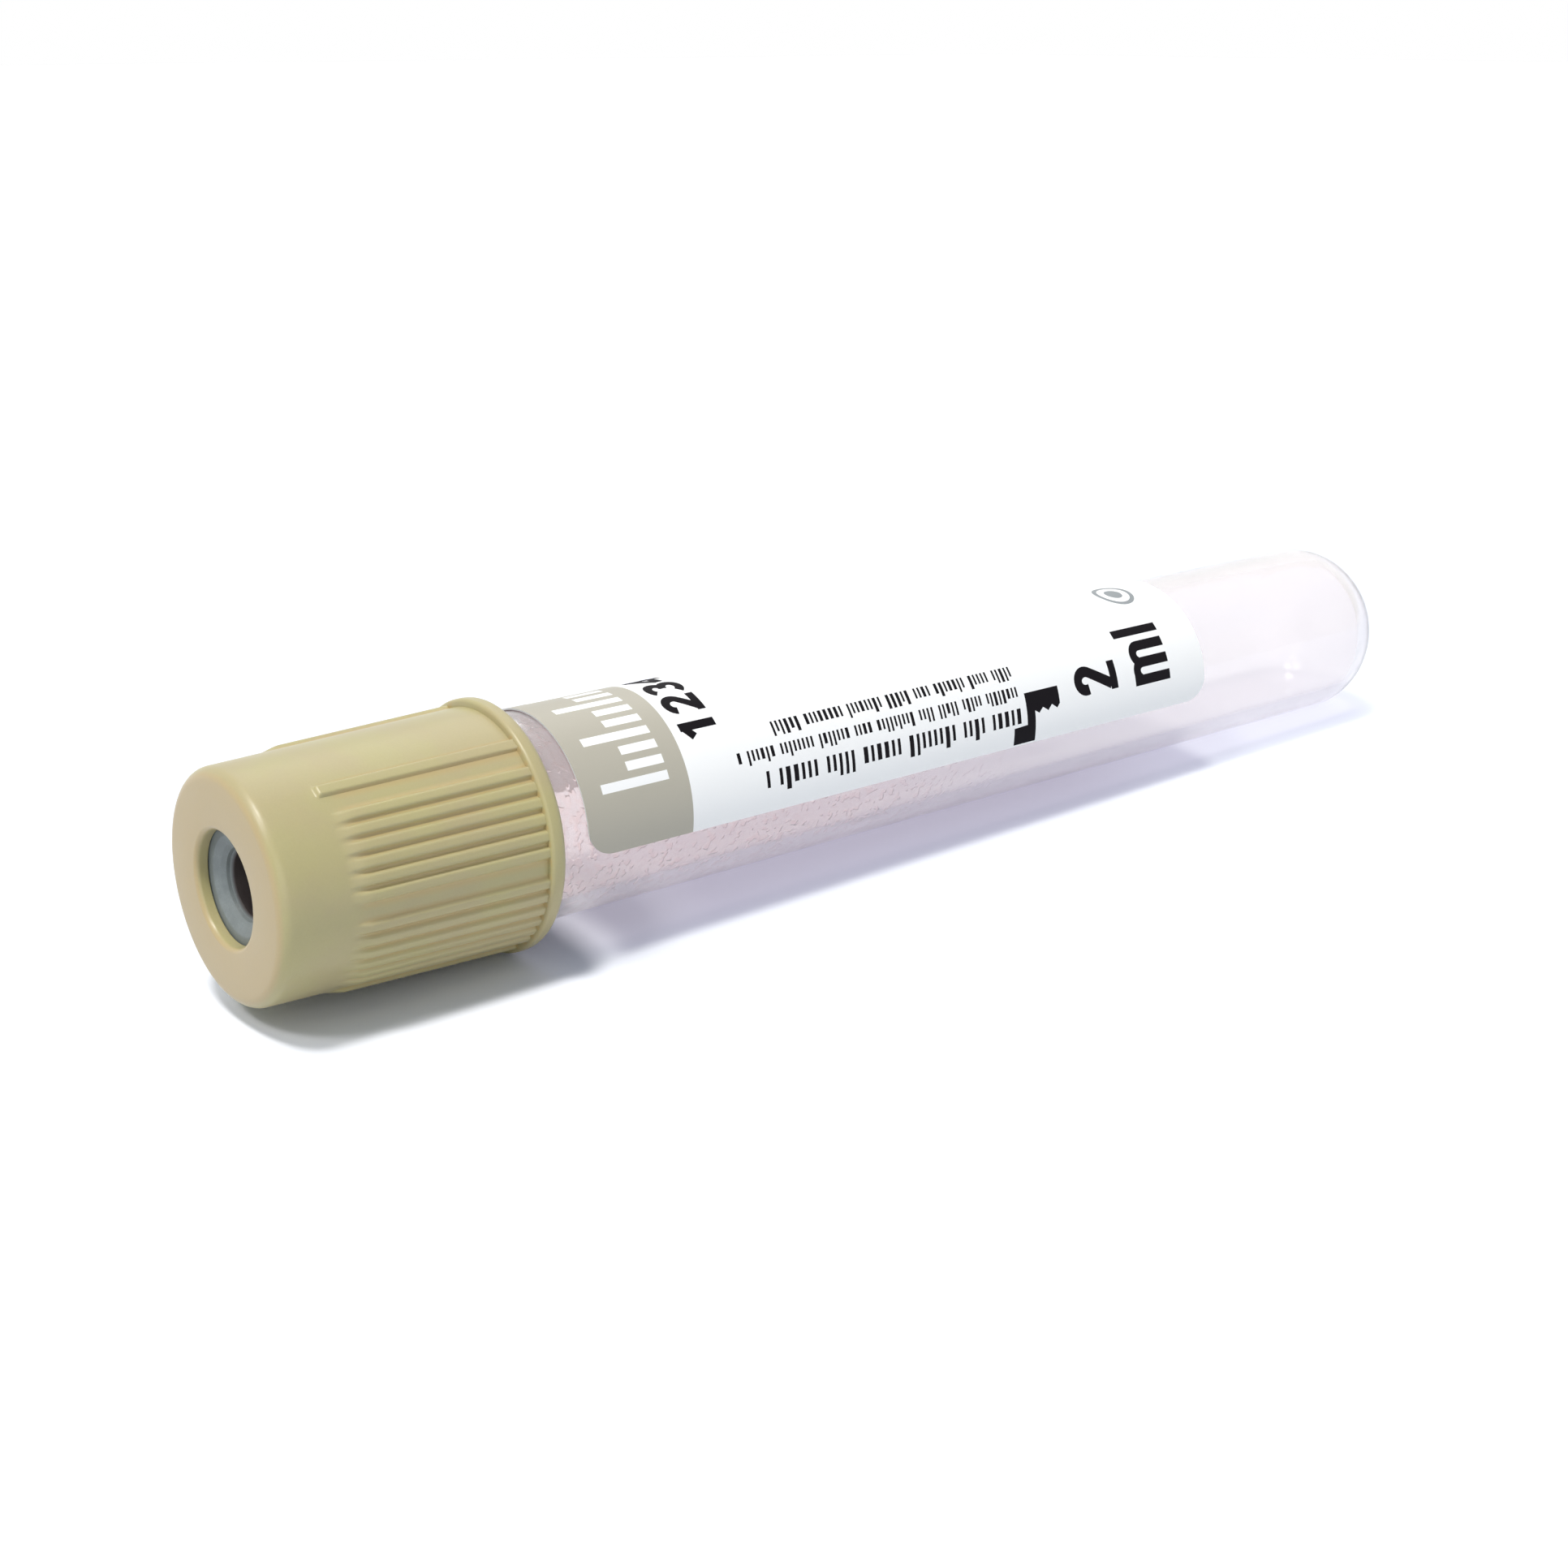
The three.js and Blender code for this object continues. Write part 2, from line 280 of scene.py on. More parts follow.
# ---------------- shader building
class Signal:
    """A shader socket that can stand in a Python expression.

    Values are worked out by Math nodes, and vectors or colours by Vector Math nodes.
    """

    def __init__(self, graph: "Graph", socket: bpy.types.NodeSocket) -> None:
        """Wraps a socket of a graph."""
        self.graph = graph
        self.socket = socket

    @property
    def wide(self) -> bool:
        """Whether the socket holds a vector or a colour."""
        return self.socket.type in ("VECTOR", "RGBA")

    def joined(self, operation: str, *terms: Term) -> "Signal":
        """Adds the node for one operation on these terms."""
        wide = any(isinstance(t, Signal) and t.wide for t in terms)
        wide = wide or any(isinstance(t, (tuple, list, Vector)) for t in terms)
        kind = "ShaderNodeVectorMath" if wide else "ShaderNodeMath"
        sockets = {i: self.spread(t) if wide else t for i, t in enumerate(terms)}
        return self.graph.add(kind, {"operation": operation}, sockets, 0)

    @staticmethod
    def spread(term: Term) -> "Signal | Sequence[float]":
        """Makes a plain number fit for a vector's socket."""
        return (term,) * 3 if isinstance(term, (int, float)) else term

    def __add__(self, other: Term) -> "Signal":
        """self + other."""
        return self.joined("ADD", self, other)

    def __radd__(self, other: Term) -> "Signal":
        """other + self."""
        return self.joined("ADD", other, self)

    def __sub__(self, other: Term) -> "Signal":
        """self - other."""
        return self.joined("SUBTRACT", self, other)

    def __rsub__(self, other: Term) -> "Signal":
        """other - self."""
        return self.joined("SUBTRACT", other, self)

    def __mul__(self, other: Term) -> "Signal":
        """self * other."""
        return self.joined("MULTIPLY", self, other)

    def __rmul__(self, other: Term) -> "Signal":
        """other * self."""
        return self.joined("MULTIPLY", other, self)

    def dot(self, direction: Sequence[float]) -> "Signal":
        """How far a vector reaches along a direction, as a value."""
        settings = {"operation": "DOT_PRODUCT"}
        return self.graph.add("ShaderNodeVectorMath", settings, {0: self, 1: direction}, "Value")

    def rise(self, low: float, high: float) -> "Signal":
        """A value that goes smoothly from 0 at low to 1 at high."""
        settings = {"interpolation_type": "SMOOTHSTEP"}
        sockets = {"Value": self, "From Min": low, "From Max": high}
        return self.graph.add("ShaderNodeMapRange", settings, sockets, "Result")


class Graph:
    """The nodes of one material, or of the world."""

    def __init__(self, owner: bpy.types.Material | bpy.types.World, output: str) -> None:
        """Empties the owner's nodes but for a new output of that type."""
        self.owner = owner
        owner.use_nodes = True
        self.nodes, self.links = owner.node_tree.nodes, owner.node_tree.links
        self.nodes.clear()
        self.output = self.nodes.new(output)

    @classmethod
    def of_material(cls, name: str) -> "Graph":
        """Makes a new material."""
        return cls(bpy.data.materials.new(name), "ShaderNodeOutputMaterial")

    @classmethod
    def of_world(cls, name: str) -> "Graph":
        """Makes a new world and puts it round the scene."""
        bpy.context.scene.world = bpy.data.worlds.new(name)
        return cls(bpy.context.scene.world, "ShaderNodeOutputWorld")

    def add(self, kind: str, settings: dict, sockets: dict, output: str | int = 0) -> Signal:
        """Adds any node.

        Args:
            kind: the node's type.
            settings: its properties, such as an operation, which are set first.
            sockets: values or signals by the name or number of the input.
            output: the name or number of the output that is wanted.

        Returns:
            That output.
        """
        node = self.nodes.new(kind)
        for key, value in settings.items():
            setattr(node, key, value)
        for key, value in sockets.items():
            if isinstance(value, Signal):
                self.links.new(value.socket, node.inputs[key])
            elif isinstance(value, (tuple, list, Vector)):
                room = len(node.inputs[key].default_value)
                node.inputs[key].default_value = (*value, 1.0)[:room]
            else:
                node.inputs[key].default_value = value
        return Signal(self, node.outputs[output])

    def position(self) -> Signal:
        """The place on the piece, in metres, which goes with the piece."""
        return self.add("ShaderNodeTexCoord", {}, {}, "Object")

    def marked(self, name: str) -> Signal:
        """What mark_points kept under a name."""
        return self.add("ShaderNodeAttribute", {"attribute_name": name}, {}, "Fac")

    def noise(self, place: Signal, size: float, detail: float = 2.0, rough: float = 0.5) -> Signal:
        """Soft random blotches of about that size in millimetres, from 0 to 1."""
        sockets = {"Vector": place, "Scale": 1 / (size * MM), "Detail": detail, "Roughness": rough}
        return self.add("ShaderNodeTexNoise", {}, sockets, "Fac")

    def blend(self, share: Signal | float, first: Signal | Colour, second: Signal | Colour) -> Signal:
        """Mixes two colours, by the second's share."""
        sockets = {"Factor": share, 6: first, 7: second}
        return self.add("ShaderNodeMix", {"data_type": "RGBA"}, sockets, 2)

    def bumped(self, height: Signal, depth: float, below: Signal | None = None) -> Signal:
        """A normal tilted by a height from 0 to 1, with its depth in millimetres."""
        sockets = {"Height": height, "Distance": depth * MM, "Strength": 1.0}
        if below is not None:
            sockets["Normal"] = below
        return self.add("ShaderNodeBump", {}, sockets, "Normal")

    def principled(self, sockets: dict) -> Signal:
        """The main shader, with these inputs."""
        return self.add("ShaderNodeBsdfPrincipled", {}, sockets, "BSDF")

    def ray(self, kind: str) -> Signal:
        """What the Light Path node says of a ray: 1 or 0 for a kind, or how often it has bounced."""
        return self.add("ShaderNodeLightPath", {}, {}, kind)

    def mixed(self, share: Signal | float, first: Signal, second: Signal) -> Signal:
        """Mixes two shaders, by the second's share."""
        return self.add("ShaderNodeMixShader", {}, {0: share, 1: first, 2: second}, 0)

    def finish(self, surface: Signal) -> bpy.types.Material | bpy.types.World:
        """Connects the surface and gives the material or the world."""
        self.links.new(surface.socket, self.output.inputs["Surface"])
        return self.owner


# ---------------- finishes
@dataclass(frozen=True)
class CapPlastic:
    """Moulded beige plastic, satin, with painted shade that makes it a little warmer and darker in its
    grooves.
    """

    body: Colour = ink_colour(182, 173, 125)
    warm: Colour = ink_colour(181, 169, 127)
    # a pinker copy of the plastic, a painted tint of the light on the front face
    front: Colour = ink_colour(190, 170, 127)
    # painted shade, warm and a little dark, for the grooves between the ribs
    groove: Colour = ink_colour(196, 164, 108)
    roughness: float = 0.34

    def material(self, axis: TubeAxis) -> bpy.types.Material:
        """Makes the material; the front face is painted a little pinker than the side, a painted tint of
        the light that falls on it.
        """
        graph = Graph.of_material("cap_plastic")
        place = graph.position()
        start = axis.origin.dot(axis.along)
        behind = place.dot(axis.along).rise(start + 0.02 * MM, start + 0.3 * MM)
        cloud = graph.noise(place, 4.0, 3.0)
        speck = graph.noise(place, 0.12, 2.0, 0.6)
        side = graph.blend(cloud.rise(0.35, 0.65), self.body, self.warm)
        # painted tint of light: the front face takes the pinker copy, the side the plain plastic
        tone = graph.blend(behind, self.front, side)
        fine = graph.blend(speck, (0.96, 0.96, 0.955), (1.04, 1.04, 1.045))
        # painted shade: the grooves between the ribs are blended towards the groove colour
        colour = graph.blend(graph.marked("groove") * 0.4, tone * fine, self.groove)
        roughness = self.roughness + 0.10 * (cloud - 0.5) + 0.12 * (speck - 0.5)
        grain = graph.bumped(speck, 0.004)
        swell = graph.bumped(graph.noise(place, 1.6, 2.0), 0.012, grain)
        plastic = graph.principled(
            {
                "Base Color": colour,
                "Roughness": roughness,
                "Normal": swell,
                "IOR": 1.49,
                "Subsurface Weight": 0.18,
                "Subsurface Radius": (1.0, 0.75, 0.4),
                "Subsurface Scale": 0.6 * MM,
            }
        )
        return graph.finish(plastic)


@dataclass(frozen=True)
class StopperRubber:
    """Grey butyl rubber with a faint bloom, and painted shade that makes it darker and browner down in its
    hollows.
    """

    body: Colour = ink_colour(120, 127, 127)
    bloom: Colour = ink_colour(142, 150, 150)
    # painted shade for down inside the port
    hollow: Colour = ink_colour(54, 46, 45)
    roughness: float = 0.5

    def material(self) -> bpy.types.Material:
        """Makes the material."""
        graph = Graph.of_material("stopper_rubber")
        place = graph.position()
        cloud = graph.noise(place, 1.3, 4.0, 0.6)
        dust = graph.noise(place, 0.09, 1.0)
        bloom = 0.6 * cloud.rise(0.4, 0.75) + 0.4 * dust.rise(0.6, 0.75)
        skin = graph.blend(bloom, self.body, self.bloom)
        # painted shade: the inside of the port is blended towards the hollow colour
        colour = graph.blend(graph.marked("hollow"), skin, self.hollow)
        roughness = self.roughness + 0.25 * (cloud - 0.5) + 0.1 * (dust - 0.5)
        pores = graph.bumped(graph.noise(place, 0.16, 3.0, 0.6), 0.012)
        rubber = {"Base Color": colour, "Roughness": roughness, "Normal": pores, "IOR": 1.5}
        return graph.finish(graph.principled(rubber))


@dataclass(frozen=True)
class ClearPlastic:
    """Clear moulded polyester with fine draw lines, and a faint spray of dry additive inside."""

    tint: Colour = ink_colour(255, 251, 250)
    sprayed: Colour = ink_colour(254, 224, 217)
    shade: Colour = (0.945, 0.935, 0.95)
    edge_shade: Colour = (0.66, 0.66, 0.7)
    milkiness: float = 0.18
    roughness: float = 0.04
    line_stretch: float = 0.94

    def material(self, axis: TubeAxis) -> bpy.types.Material:
        """Makes the material; light goes straight through it, less where it grazes."""
        graph = Graph.of_material("clear_plastic")
        place = graph.position()
        lengthwise = place.dot(axis.along) * tuple(axis.along)
        drawn = place - lengthwise * self.line_stretch
        lines = graph.noise(drawn, 0.5, 3.0, 0.55)
        haze = graph.noise(place, 2.2, 4.0, 0.6)
        inside = graph.marked("sprayed")
        drops = graph.noise(place, 0.5, 1.0, 0.5).rise(0.54, 0.62) * inside
        glass = graph.principled(
            {
                "Base Color": graph.blend(0.5 * inside + 0.5 * drops, self.tint, self.sprayed),
                "Roughness": self.roughness + 0.05 * haze.rise(0.45, 0.8),
                "Normal": graph.bumped(drops, 0.015, graph.bumped(lines, 0.0025)),
                "IOR": 1.5,
                "Transmission Weight": 1 - self.milkiness,
            }
        )
        edge = graph.add("ShaderNodeLayerWeight", {}, {"Blend": 0.5}, "Facing").rise(0.45, 0.95)
        flat, edge_on = (
            graph.add("ShaderNodeBsdfTransparent", {}, {"Color": shade})
            for shade in (self.shade, self.edge_shade)
        )
        straight = graph.mixed(edge, flat, edge_on)
        for kind in ("Is Diffuse Ray", "Is Shadow Ray"):
            glass = graph.mixed(graph.ray(kind), glass, straight)
        return graph.finish(glass)


@dataclass(frozen=True)
class PrintedFilm:
    """Label film or an ink on it: satin, with a faint grain, and lets some of the lamps' light through."""

    name: str
    colour: Colour
    roughness: float = 0.42
    grain: float = 0.02
    ior: float = 1.45
    lets_through: Colour = (0.7, 0.68, 0.72)

    def material(self) -> bpy.types.Material:
        """Makes the material."""
        graph = Graph.of_material(self.name)
        place = graph.position()
        fibre = graph.noise(place, 0.1, 3.0, 0.65)
        cloud = graph.noise(place, 5.0, 2.0)
        low, high = 1 - self.grain, 1 + self.grain
        share = 0.5 * fibre + 0.5 * cloud
        colour = graph.blend(share, (low, low, low), (high, high, high)) * self.colour
        film = graph.principled(
            {
                "Base Color": colour,
                "Roughness": self.roughness + 0.1 * (fibre - 0.5) + 0.06 * (cloud - 0.5),
                "Normal": graph.bumped(fibre, 0.003, graph.bumped(cloud, 0.02)),
                "IOR": self.ior,
            }
        )
        lamps = graph.add("ShaderNodeBsdfTransparent", {}, {"Color": self.lets_through})
        return graph.finish(graph.mixed(graph.ray("Is Shadow Ray"), film, lamps))


class Ink(Enum):
    """What a patch of the label is printed with."""

    FILM = PrintedFilm("label_film", ink_colour(253, 253, 251))
    BAND = PrintedFilm("grey_band", ink_colour(182, 177, 162))
    BLACK = PrintedFilm("black_ink", ink_colour(20, 17, 21), 0.55, 0.08, 1.15)
    GREY = PrintedFilm("ring_ink", ink_colour(140, 146, 148), 0.45)
    PALE = PrintedFilm("pale_ink", ink_colour(248, 246, 228))
    BACK = PrintedFilm("label_back", ink_colour(252, 247, 250), 0.6)
    BAND_BACK = PrintedFilm("band_back", ink_colour(206, 186, 176), 0.6)


# ---------------- tube and label
@dataclass(frozen=True)
class Mark:
    """A printed shape on the flat label, in millimetres along and round the tube."""

    ink: Ink
    outline: Outline


@dataclass(frozen=True)
class FillerLine:
    """A line of plain upright strokes that stands where small print would.

    It runs from its first station towards the cap. The foot is the angle that its strokes
    stand on, the height is that of a tall stroke and the pen is a thin stroke's width.
    """

    first: float
    last: float
    foot: float
    height: float
    pen: float
    seed: int


@dataclass
class Artwork:
    """The print on the flat label: x is the station, y goes round towards the near side."""

    radius: float
    start: float
    band: float = 7.7
    first_angle: float = 66.0
    bars: int = 18
    bar_pitch: float = 9.0
    bar_width: float = 5.0
    bar_foot: float = 26.3
    bar_tops: tuple[float, ...] = (21.4, 23.6, 23.6)
    figure_pitch: float = 17.0
    figure_height: float = 2.75
    figure_pen: float = 0.6
    figure_baseline: float = 31.1
    filler_lines: tuple[FillerLine, ...] = (
        FillerLine(56.2, 33.7, 74.5, 1.45, 0.25, 3),
        FillerLine(56.2, 31.8, 61.5, 0.95, 0.17, 5),
        FillerLine(56.2, 35.1, 48.5, 1.0, 0.17, 8),
    )

    def round_at(self, degrees: float) -> float:
        """The distance round the label from the top to an angle."""
        return math.radians(degrees) * self.radius

    @staticmethod
    def oblong(x0: float, x1: float, y0: float, y1: float) -> Outline:
        """The corners of a rectangle."""
        return [(x0, y0), (x1, y0), (x1, y1), (x0, y1)]

    def box(self, ink: Ink, x0: float, x1: float, from_deg: float, to_deg: float) -> Mark:
        """A rectangle between two stations and two angles."""
        return Mark(ink, self.oblong(x0, x1, *sorted((self.round_at(from_deg), self.round_at(to_deg)))))

    @staticmethod
    def disc(ink: Ink, centre: Point, radius: float, sides: int = 48) -> Mark:
        """A round patch."""
        x, y = centre
        turn = [2 * math.pi * k / sides for k in range(sides)]
        return Mark(ink, [(x + radius * math.cos(a), y + radius * math.sin(a)) for a in turn])

    @staticmethod
    def stroke(path: Outline, width: float) -> Outline:
        """The outline of a line of that width along a path."""
        left, right = [], []
        for i, here in enumerate(path):
            before, after = path[max(i - 1, 0)], path[min(i + 1, len(path) - 1)]
            heading = math.atan2(after[1] - before[1], after[0] - before[0])
            dx, dy = -math.sin(heading) * width / 2, math.cos(heading) * width / 2
            left.append((here[0] + dx, here[1] + dy))
            right.append((here[0] - dx, here[1] - dy))
        return left + right[::-1]

    @staticmethod
    def arc(cx: float, cy: float, rx: float, ry: float, start: float, stop: float) -> Outline:
        """Points of an elliptic arc between two angles in degrees."""
        turn = [math.radians(a) for a in stepped(start, stop, 15)]
        return [(cx + rx * math.cos(a), cy + ry * math.sin(a)) for a in turn]

    def ring(self, cx: float, cy: float, rx: float, ry: float) -> list[Outline]:
        """Two half turns of an ellipse, which overlap a little."""
        return [self.arc(cx, cy, rx, ry, start, start + 190) for start in (0, 180)]

    def figures(self) -> list[list[Outline]]:
        """The pen's paths for plain figures from 1 to 8, each in a box as high as 1."""
        one = [[(0.36, 0.0), (0.36, 1.0)], [(0.36, 0.9), (0.08, 0.7)]]
        two = [self.arc(0.32, 0.68, 0.21, 0.22, 170, -35) + [(0.14, 0.14)], [(0.02, 0.1), (0.62, 0.1)]]
        three = [self.arc(0.29, 0.7, 0.21, 0.2, 150, -90), self.arc(0.29, 0.31, 0.23, 0.21, 90, -150)]
        four = [[(0.46, 0.0), (0.46, 1.0)], [(0.46, 0.9), (0.06, 0.34)], [(0.0, 0.3), (0.66, 0.3)]]
        bowl = self.arc(0.28, 0.32, 0.23, 0.22, 125, -150)
        five = [[(0.1, 0.9), (0.6, 0.9)], [(0.16, 0.95), (0.13, 0.45)], bowl]
        six = [*self.ring(0.32, 0.31, 0.21, 0.21), [(0.13, 0.38), (0.42, 1.0)]]
        seven = [[(0.02, 0.9), (0.64, 0.9)], [(0.56, 0.86), (0.22, 0.0)]]
        eight = self.ring(0.32, 0.29, 0.22, 0.2) + self.ring(0.32, 0.71, 0.19, 0.19)
        return [one, two, three, four, five, six, seven, eight]

    def figure_row(self) -> list[Mark]:
        """Plain bold figures that count round the tube beside the band."""
        marks = []
        for number, paths in enumerate(self.figures(), 1):
            left = self.first_angle - self.figure_pitch * number
            for path in paths:
                sized = [(x * self.figure_height, y * self.figure_height) for x, y in path]
                marks.append(self.written(self.stroke(sized, self.figure_pen), self.figure_baseline, left))
        return marks

    def scale(self) -> list[Mark]:
        """White bars across the band: a long one and two short ones, over and over."""
        bars = []
        for k in range(self.bars):
            first = self.first_angle - self.bar_pitch * k
            top = self.bar_tops[k % len(self.bar_tops)]
            bars.append(self.box(Ink.FILM, top, self.bar_foot, first, first - self.bar_width))
        return bars

    def filler(self, line: FillerLine) -> list[Mark]:
        """The strokes of a filler line, thin or bold and tall or short, in groups of 4 to 9."""
        draw = random.Random(line.seed)
        marks: list[Mark] = []
        y0 = self.round_at(line.foot)
        station, left_in_group = line.first, draw.randint(4, 9)
        while station > line.last:
            width = line.pen * draw.choice((1.0, 1.0, 1.5))
            tall = line.height * draw.choice((1.0, 0.74, 0.74))
            marks.append(Mark(Ink.BLACK, self.oblong(station, station - width, y0, y0 + tall)))
            left_in_group -= 1
            station -= width + line.pen * (1.1 if left_in_group else 3.2)
            left_in_group = left_in_group or draw.randint(4, 9)
        return marks

    def written(self, shape: Outline, baseline: float, from_deg: float) -> Mark:
        """A shape of a letter or figure, drawn upright, as it stands on the label.

        Args:
            shape: its outline, to the right and up from the left end of its baseline.
            baseline: the station of its baseline; up is towards the cap.
            from_deg: the angle of its left end; right is away from the near side.

        Returns:
            The mark in black.
        """
        left = self.round_at(from_deg)
        return Mark(Ink.BLACK, [(baseline - y, left - x) for x, y in shape])

    def two(self) -> list[Mark]:
        """The figure of the volume."""
        bowl = self.arc(1.02, 3.22, 0.66, 0.76, 200, -28) + [(0.42, 0.62)]
        foot = self.oblong(0.0, 2.06, 0.0, 0.72)
        shapes = (self.stroke(bowl, 0.78), foot)
        return [self.written(shape, 66.2, 76.8) for shape in shapes]

    def millilitres(self) -> list[Mark]:
        """The unit of the volume."""
        stem = self.oblong(0.0, 0.74, 0.0, 3.75)
        arch = self.stroke(self.arc(1.02, 2.74, 0.62, 0.66, 150, 0) + [(1.64, 0.0)], 0.74)
        further = [(x + 1.25, y) for x, y in arch]
        tall = self.oblong(0.0, 0.66, 0.0, 4.7)
        marks = [self.written(shape, 71.8, 79.0) for shape in (stem, arch, further)]
        return marks + [self.written(tall, 71.9, 46.8)]

    def fill_flag(self) -> list[Mark]:
        """The flag whose stem marks the fill level, with its toothed lower edge."""
        teeth = [(60.1, 77.0), (59.8, 79.6), (59.3, 76.6), (58.9, 79.8)]
        teeth += [(58.4, 77.0), (58.0, 80.0), (57.6, 78.0)]
        stem = [(57.6, 85.5), (57.6, 96.4), (55.5, 96.4), (55.5, 86.0), (56.8, 85.5)]
        flag = [(56.8, 66.5), (60.1, 66.5), *teeth, *stem]
        return [Mark(Ink.BLACK, [(x, self.round_at(deg)) for x, deg in flag])]

    def pale_spot(self) -> list[Mark]:
        """A pale round spot, and bare film over all of it but its near edge."""
        spot, bare = (62.0, self.round_at(-19.4)), (62.0, self.round_at(-22.0))
        return [self.disc(Ink.PALE, spot, 4.0), self.disc(Ink.FILM, bare, 3.75)]

    def ring_mark(self) -> list[Mark]:
        """A small ring with a dot in it."""
        centre = (71.2, self.round_at(9.0))
        discs = ((Ink.GREY, 1.6), (Ink.FILM, 1.25), (Ink.GREY, 0.7))
        return [self.disc(ink, centre, radius) for ink, radius in discs]

    def marks(self) -> list[Mark]:
        """All print, in the order it is laid down."""
        band = self.box(Ink.BAND, self.start, self.start + self.band, -120, 120)
        out = [band, *self.scale(), *self.pale_spot(), *self.ring_mark(), *self.figure_row()]
        for line in self.filler_lines:
            out += self.filler(line)
        return out + self.fill_flag() + self.two() + self.millilitres()


@dataclass
class TubeAndLabel:
    """The clear tube and the printed film that is wrapped round it."""

    axis: TubeAxis
    body: str = "tube_body"
    radius: float = 6.5
    wall: float = 1.0
    mouth: float = 5.15
    end: float = 100.0
    dome: float = 5.2
    lip_fillet: float = 0.3
    spray_starts: Point = (12.0, 14.0)
    spray_ends: Point = (62.0, 40.0)
    label_start: float = 20.0
    label_length: float = 55.6
    label_gap: float = 0.06
    label_thickness: float = 0.1
    label_corner: float = 1.8
    first_edge: float = 97.5
    wrap: float = 200.0
    fold_pitch: float = 2.5
    grid_pitch: float = 4.0
    columns: int = 180

    def dome_arc(self, wall: float, steps: int = 26) -> Outline:
        """The round end at a depth in the wall, from its start to the axis."""
        start = self.end - self.dome
        turns = [math.pi / 2 * k / steps for k in range(steps)]
        deep, wide = self.dome - wall, self.radius - wall
        arc = [(start + deep * math.sin(a), wide * math.cos(a)) for a in turns]
        return arc + [(start + deep, 0.0)]

    def build_tube(self) -> Piece:
        """Turns the tube: outside, rounded mouth and inside in one skin."""
        bore = self.radius - self.wall
        straight_end = self.end - self.dome - 2
        corners = [
            Corner(straight_end, bore),
            Corner(self.mouth, bore, self.lip_fillet),
            Corner(self.mouth, self.radius, self.lip_fillet),
            Corner(straight_end, self.radius),
        ]
        straight = divided(rounded(corners, closed=False), 4.0, closed=False)
        outline = self.dome_arc(self.wall)[::-1] + straight + self.dome_arc(0.0)
        degrees = [360 * k / self.columns for k in range(self.columns)]
        tube = turned("clear_tube", self.axis, outline, degrees, closed=False)
        stations, _, radii = self.axis.measured(tube)
        sprayed = smooth_step(*self.spray_starts, stations) * smooth_step(*self.spray_ends, stations)
        mark_points(tube, "sprayed", sprayed * (radii < bore + 0.1))
        tube.data.materials.append(ClearPlastic().material(self.axis))
        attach(tube, self.body)
        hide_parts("tube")
        return tube

    def label_outline(self, far: float, near: float) -> Outline:
        """The flat label with rounded corners, between its far and its near edge."""
        x0, x1 = self.label_start, self.label_start + self.label_length
        places = ((x0, far), (x1, far), (x1, near), (x0, near))
        return rounded([Corner(x, y, self.label_corner) for x, y in places], closed=True, steps=8)

    def cut_flat(
        self, shapes: list[Mark], folds: list[float]
    ) -> tuple[list[Vector], list[tuple[list[int], int]]]:
        """Cuts the flat label into triangles, along its print and along a grid that lets it bend.

        Args:
            shapes: the label itself, then its print, each over what comes before it.
            folds: the distances round to the grid's lines, the label's edges included.

        Returns:
            The corners, and for each triangle of the label its corners and its top shape.
        """
        vertices: Outline = []
        faces, edges = [], []
        for mark in shapes:
            corners = mark.outline
            pairs = zip(corners, corners[1:] + corners[:1])
            twice_area = sum(x0 * y1 - x1 * y0 for (x0, y0), (x1, y1) in pairs)
            faces.append(list(range(len(vertices), len(vertices) + len(corners))))
            vertices += corners if twice_area > 0 else corners[::-1]
        x0, x1 = self.label_start - 1, self.label_start + self.label_length + 1
        lines = [((x0, y), (x1, y)) for y in folds[1:-1]]
        across = stepped(x0 + 1, x1 - 1, self.grid_pitch)[1:-1]
        lines += [((x, folds[0] - 1), (x, folds[-1] + 1)) for x in across]
        for line in lines:
            edges.append((len(vertices), len(vertices) + 1))
            vertices += line
        cut = geometry.delaunay_2d_cdt([Vector(v) for v in vertices], edges, faces, 0, 1e-5, True)
        flat, triangles, owners = cut[0], cut[2], cut[5]
        return flat, [(t, max(o)) for t, o in zip(triangles, owners) if 0 in o]

    def build_label(self) -> Piece:
        """Cuts the flat label, then wraps it round the tube as a thin closed sheet."""
        inner = self.radius + self.label_gap
        outer = inner + self.label_thickness
        art = Artwork(outer, self.label_start)
        far, near = art.round_at(self.first_edge - self.wrap), art.round_at(self.first_edge)
        shapes = [Mark(Ink.FILM, self.label_outline(far, near)), *art.marks()]
        flat, triangles = self.cut_flat(shapes, stepped(far, near, art.round_at(self.fold_pitch)))
        used = sorted({v for triangle, _ in triangles for v in triangle})
        number = {v: i for i, v in enumerate(used)}
        stations = np.array([flat[v].x for v in used])
        degrees = np.degrees(np.array([flat[v].y for v in used]) / outer)
        count = len(used)
        sheets = [self.axis.places(stations, degrees, np.full(count, r)) for r in (outer, inner)]
        order = list(Ink)
        skin, inks, sides = [], [], []
        for triangle, top in triangles:
            a, b, c = (number[v] for v in triangle)
            skin += [(a, b, c), (c + count, b + count, a + count)]
            banded = sum(stations[[a, b, c]]) / 3 < self.label_start + art.band
            inks += [order.index(shapes[top].ink), order.index(Ink.BAND_BACK if banded else Ink.BACK)]
            sides += [(a, b), (b, c), (c, a)]
        shared = set(sides)
        rim = [(b, a, a + count, b + count) for a, b in sides if (b, a) not in shared]
        inks += [order.index(Ink.FILM)] * len(rim)
        label = finished_object("printed_label", np.vstack(sheets), skin + rim)
        for ink in order:
            label.data.materials.append(ink.value.material())
        label.data.polygons.foreach_set("material_index", inks)
        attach(label, self.body)
        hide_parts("label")
        return label


